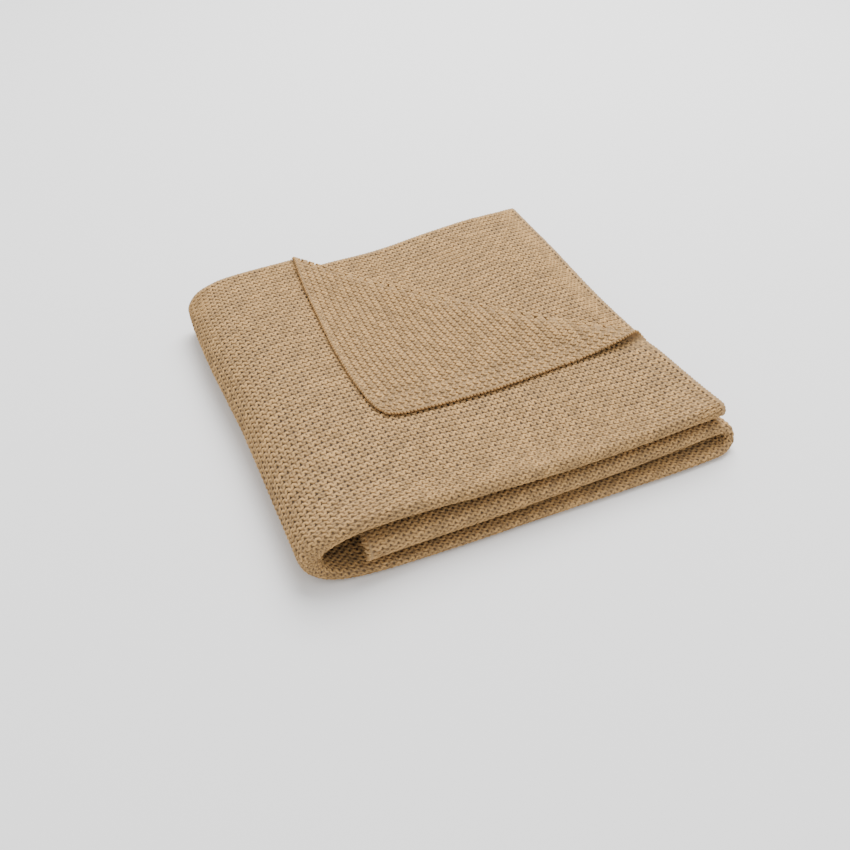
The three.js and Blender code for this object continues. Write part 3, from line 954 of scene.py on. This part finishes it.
# %% [markdown]
# Where the stitches go is counted on the flat panel, and then the rows wander. Only cells that can
# be seen get a stitch. On the inside face the same loop is turned over.

# %% The places of the stitches
EDGE_SPACING = 4.25


def cells(face):
    """The middles of the seen cells, with how each stitch is turned."""
    stitch = (np.arange(STITCHES) + 0.5) * STITCH_WIDTH
    ridge = width_at(np.arange(-RIDGES, RIDGES) + 0.5)
    flat = wander(pairs(stitch, ridge))
    flat = flat[open_at(flat, face) > SEEN]
    turn = np.zeros((len(flat), 3))
    turn[:, 0] = 0 if face > 0 else math.pi
    return flat, turn


def edge_places():
    """Points along the four edges of the panel, each turned to face outwards."""
    across = np.arange(-NOMINAL_WIDTH, NOMINAL_WIDTH, EDGE_SPACING) + EDGE_SPACING / 2
    along = np.arange(0, CLOTH_LENGTH, EDGE_SPACING) + EDGE_SPACING / 2
    sides = [
        (pairs([0], across), math.pi),
        (pairs([CLOTH_LENGTH], across), 0),
        (pairs(along, [NOMINAL_WIDTH]), math.pi / 2),
        (pairs(along, [-NOMINAL_WIDTH]), -math.pi / 2),
    ]
    flat = np.vstack([places for places, _ in sides])
    turn = np.zeros((len(flat), 3))
    turn[:, 2] = np.concatenate([np.full(len(places), angle) for places, angle in sides])
    seen = np.maximum(open_at(flat, 1), open_at(flat, -1)) > SEEN
    return flat[seen], turn[seen]


outside, outside_turn = cells(1)
inside, inside_turn = cells(-1)
edges, edge_turn = edge_places()
print("stitches outside, inside and on the edges:", len(outside), len(inside), len(edges))

# %% [markdown]
# Knitting the pieces: the points get the tree as a modifier, the result becomes a plain mesh, and
# every corner of it is bent onto the pile by the same formula as the ground. The bend turns a
# left hand into a right hand, so the faces are flipped afterwards. A piece holds a limited number
# of stitches, so that none grows past 200,000 triangles.

# %% Knit the stitches and bend them
STITCHES_IN_A_PIECE = 1700
# an edge loop gets no more painted shade than a point this high
EDGE_LOOP_HEIGHT = 1.5  # an edge loop is coloured as if it stood at least this high


def inputs_of(tree):
    """Identifiers of a tree's inputs by their names."""
    return {item.name: item.identifier for item in tree.interface.items_tree
            if item.in_out == "INPUT"}


def knit(name, flat, turn, on_edge, seed, material):
    points = bpy.data.meshes.new(name)
    points.from_pydata(np.column_stack([flat, np.zeros(len(flat))]).tolist(), [], [])
    keep(points, "turn", turn.ravel(), "FLOAT_VECTOR", "vector")
    keep(points, "on_edge", np.full(len(flat), on_edge), "BOOLEAN")
    keep(points, "squeeze", np.ones(len(flat)) if on_edge else ridge_share(flat[:, 1]))
    piece = new_object(name, points)
    knitting = piece.modifiers.new("knitting", "NODES")
    knitting.node_group = garter
    identifier = inputs_of(garter)
    for size, value in LOOP_SIZES.items():
        knitting[identifier[size]] = value
    knitting[identifier["Seed"]] = seed
    knitting[identifier["Yarn"]] = material
    depsgraph = bpy.context.evaluated_depsgraph_get()
    piece.data = bpy.data.meshes.new_from_object(piece.evaluated_get(depsgraph))
    piece.modifiers.clear()
    bpy.data.meshes.remove(points)
    bend_mesh(piece.data, EDGE_LOOP_HEIGHT if on_edge else 0)
    return piece


def bend_mesh(mesh, least_height):
    corners = np.empty(3 * len(mesh.vertices))
    mesh.vertices.foreach_get("co", corners)
    flat = corners.reshape(-1, 3)
    for name in ("turn", "on_edge", "squeeze"):
        mesh.attributes.remove(mesh.attributes[name])
    # the height over the cloth sets how much painted shade the yarn gets
    keep(mesh, "height", np.maximum(abs(flat[:, 2]), least_height))
    mesh.vertices.foreach_set("co", onto_the_pile(flat).ravel())
    mesh.flip_normals()
    mesh.shade_smooth()


def knit_in_pieces(name, flat, turn, material):
    """Knits these stitches as a few pieces, each from one stretch of the cloth."""
    order = np.argsort(flat[:, 0], kind="stable")
    shares = np.array_split(order, math.ceil(len(flat) / STITCHES_IN_A_PIECE))
    return [knit(f"{name}_{seed + 1}", flat[share], turn[share], False, seed, material)
            for seed, share in enumerate(shares)]


print("inputs of the tree:", ", ".join(inputs_of(garter)))

# %% [markdown]
# The real yarn is undyed-looking camel cotton, matt and a little fuzzy. Its colour is uneven in
# three ways: from fibre to fibre, from stitch to stitch, and in broad faint patches. On top of
# that the material paints shade by height: the legs of the loops, low in the knit, get painted
# shade, and the tops, which catch the light, stay lighter. The knitting left a random shade of
# colour with each stitch, and the bend kept each point's height over the cloth, so the material
# adds two noises and mixes the four. A third noise, far finer, raises the fuzz.

# %% The yarn's material
TOP_OF_LOOP = (0.61, 0.37, 0.15, 1)
# the legs' colour is painted shade: the lower points of a loop are mixed towards it
SHADED_LEG_OF_LOOP = (0.235, 0.148, 0.072, 1)
YARN_ROUGHNESS, SPECULAR_LEVEL = 0.9, 0.15
# the heights over which the painted shade fades from the legs to the tops
LEG_HEIGHT, TOP_HEIGHT = 0.0, 1.9
HEIGHT_SHADE_SHARE, FIBRE_SHARE, PATCH_SHARE, STITCH_SHARE = 0.55, 0.5, 0.3, 0.24
FIBRE_SCALE, PATCH_SCALE, FUZZ_SCALE = 480, 50, 2200
FIBRE_LOW, FIBRE_HIGH = 0.3, 0.7  # the noise hardly leaves these values
FUZZ_STRENGTH, FUZZ_HEIGHT = 0.4, 0.0006


def new_material(name):
    """A material with an empty tree, and the wire that its nodes start from."""
    material = bpy.data.materials.new(name)
    material.use_nodes = True
    material.node_tree.nodes.clear()
    return material, Wire(material.node_tree)


def noise(start, place, scale):
    return start.node("ShaderNodeTexNoise", None, {"Vector": place, "Scale": scale})


def spread(start, value, low, high, smooth=False):
    """Stretches low..high to 0..1."""
    kind = "SMOOTHSTEP" if smooth else "LINEAR"
    return start.node("ShaderNodeMapRange", {"interpolation_type": kind},
                      {"Value": value, "From Min": low, "From Max": high})


def fibres(start, place):
    """Uneven from fibre to fibre, between 0 and 1."""
    return spread(start, noise(start, place, FIBRE_SCALE), FIBRE_LOW, FIBRE_HIGH)


def attribute(start, name):
    return start.node("ShaderNodeAttribute", {"attribute_name": name}, output="Fac")


def mixed(start, share, low, high):
    return start.node("ShaderNodeMix", {"data_type": "RGBA"},
                      {"Factor": share, 6: low, 7: high}, output=2)


def matt_surface(start, colour, roughness, bump=None):
    inputs = {"Base Color": colour, "Roughness": roughness,
              "Specular IOR Level": SPECULAR_LEVEL}
    if bump:
        inputs["Normal"] = bump
    shader = start.node("ShaderNodeBsdfPrincipled", None, inputs)
    start.node("ShaderNodeOutputMaterial", None, {"Surface": shader})


def yarn_material():
    material, start = new_material("camel cotton yarn")
    place = start.node("ShaderNodeTexCoord", output="Object")
    # painted shade: the lower a point of a loop lies, the darker it is painted
    height = spread(start, attribute(start, "height"), LEG_HEIGHT, TOP_HEIGHT)
    patch = noise(start, place, PATCH_SCALE) - 0.5
    stitch = attribute(start, "shade") - 0.5
    share = (height * HEIGHT_SHADE_SHARE + fibres(start, place) * FIBRE_SHARE
             + patch * PATCH_SHARE + stitch * STITCH_SHARE)
    colour = mixed(start, share, SHADED_LEG_OF_LOOP, TOP_OF_LOOP)
    bump = start.node("ShaderNodeBump", None, {
        "Strength": FUZZ_STRENGTH, "Distance": FUZZ_HEIGHT,
        "Height": noise(start, place, FUZZ_SCALE)})
    matt_surface(start, colour, YARN_ROUGHNESS, bump)
    return material


yarn = yarn_material()
print("yarn:", len(yarn.node_tree.nodes), "nodes")

# %% [markdown]
# Between the loops one looks into the knit, where shade falls. There the real blanket shows a small
# dark hole under the head of each loop, and a fainter one beside each sinker. The ground's material
# paints that shade: the ground is painted darker than the yarn, and the holes darker still. Both
# holes repeat with the stitches, so the material draws them from its UV map, which counts stitches
# and ridges. Pingpong folds that count into the distance from the nearest hole.

# %% The ground's material
# painted shade: the ground between the loops, and the darker painted shade of a hole
SHADE_BETWEEN_LOOPS = (0.31, 0.205, 0.112, 1)
PAINTED_HOLE_SHADE = (0.06, 0.04, 0.025, 1)
GROUND_ROUGHNESS = 0.95
GROUND_FIBRE_SHARE = 0.5
HALF_CELL = 0.5
# where a hole lies in its cell, its half sizes there, and how dark its painted shade is
HOLES = [(0.5, 0.27, 0.25, 0.3, 1.0), (0.0, 0.73, 0.18, 0.23, 0.7)]
HOLE_FADES, HOLE_ENDS = 0.5, 1.6  # squares of the distance from its middle, in half sizes
LEAST_HOLE, HOLE_UNEVENNESS, HOLE_NOISE_SCALE = 0.6, 0.8, 150


def hole_shade_mask(start, u, v, middle_u, middle_v, half_u, half_v, darkness):
    from_u = start.maths("PINGPONG", u - middle_u, HALF_CELL) / half_u
    from_v = start.maths("PINGPONG", v - middle_v, HALF_CELL) / half_v
    far = from_u * from_u + from_v * from_v
    return (1 - spread(start, far, HOLE_FADES, HOLE_ENDS, smooth=True)) * darkness


def ground_material():
    material, start = new_material("shade between the loops")
    place = start.node("ShaderNodeTexCoord", output="Object")
    counted = start.node("ShaderNodeUVMap", {"uv_map": "stitches"})
    u = start.node("ShaderNodeSeparateXYZ", None, {0: counted}, output="X")
    v = start.node("ShaderNodeSeparateXYZ", None, {0: counted}, output="Y")
    masks = [hole_shade_mask(start, u, v, *hole) for hole in HOLES]
    uneven = noise(start, place, HOLE_NOISE_SCALE) * HOLE_UNEVENNESS + LEAST_HOLE
    # painted shade in the holes, as far as each point of the ground allows it
    hole = start.maths("MAXIMUM", *masks) * attribute(start, "holes") * uneven
    # the ground's painted shade between the loops, lightened by the fibres towards the yarn's
    # colour
    plain = mixed(start, fibres(start, place) * GROUND_FIBRE_SHARE, SHADE_BETWEEN_LOOPS, TOP_OF_LOOP)
    matt_surface(start, mixed(start, hole, plain, PAINTED_HOLE_SHADE), GROUND_ROUGHNESS)
    return material


ground.data.materials.append(ground_material())
print("ground:", len(ground.data.materials[0].node_tree.nodes), "nodes")

# %% [markdown]
# Now the blanket is knitted: the outside, the inside where it shows, and the loops round the edges.

# %% Knit the blanket
EDGE_SEED = 9
stitches = knit_in_pieces("stitches_outside", outside, outside_turn, yarn)
stitches += knit_in_pieces("stitches_inside", inside, inside_turn, yarn)
stitches.append(knit("stitches_edge", edges, edge_turn, True, EDGE_SEED, yarn))
for piece in stitches:
    print(piece.name, triangles(piece), "triangles")
print("triangles in all:", sum(triangles(piece) for piece in [ground, *stitches]))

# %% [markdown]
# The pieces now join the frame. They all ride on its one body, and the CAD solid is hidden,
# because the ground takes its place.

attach(ground, "root")
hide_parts("blanket")
for piece in stitches:
    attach(piece, "root")

# %% [markdown]
# A blanket like this is shown on a plain white surface, in soft light from all round with a little
# more from behind, on the right. A bright sky does most of that, and one large lamp the rest.

# %% Floor and light
FLOOR_HALF = 4.0
FLOOR_COLOUR, FLOOR_ROUGHNESS = (0.93, 0.93, 0.93, 1), 0.9
SKY_COLOUR, SKY_STRENGTH = (1, 1, 1, 1), 1.0
LAMP_PLACE, LAMP_SIZE, LAMP_POWER = Vector((1.0, 1.2, 2.6)), 2.2, 165


def pale_floor():
    mesh = bpy.data.meshes.new("floor")
    signs = [(-1, -1), (1, -1), (1, 1), (-1, 1)]
    mesh.from_pydata([(x * FLOOR_HALF, y * FLOOR_HALF, 0) for x, y in signs], [], [(0, 1, 2, 3)])
    material, start = new_material("pale floor")
    matt_surface(start, FLOOR_COLOUR, FLOOR_ROUGHNESS)
    mesh.materials.append(material)
    return new_object("floor", mesh)


def bright_sky():
    world = bpy.data.worlds.new("studio")
    bpy.context.scene.world = world
    world.use_nodes = True
    sky = world.node_tree.nodes["Background"].inputs
    sky["Color"].default_value = SKY_COLOUR
    sky["Strength"].default_value = SKY_STRENGTH


def soft_lamp():
    light = bpy.data.lights.new("lamp", "AREA")
    light.size = LAMP_SIZE
    light.energy = LAMP_POWER
    lamp = new_object("lamp", light)
    lamp.location = LAMP_PLACE
    lamp.rotation_euler = (-LAMP_PLACE).to_track_quat("-Z", "Y").to_euler()


pale_floor()
bright_sky()
soft_lamp()
print("sky strength:", SKY_STRENGTH, "lamp power in watts:", LAMP_POWER)

# %% [markdown]
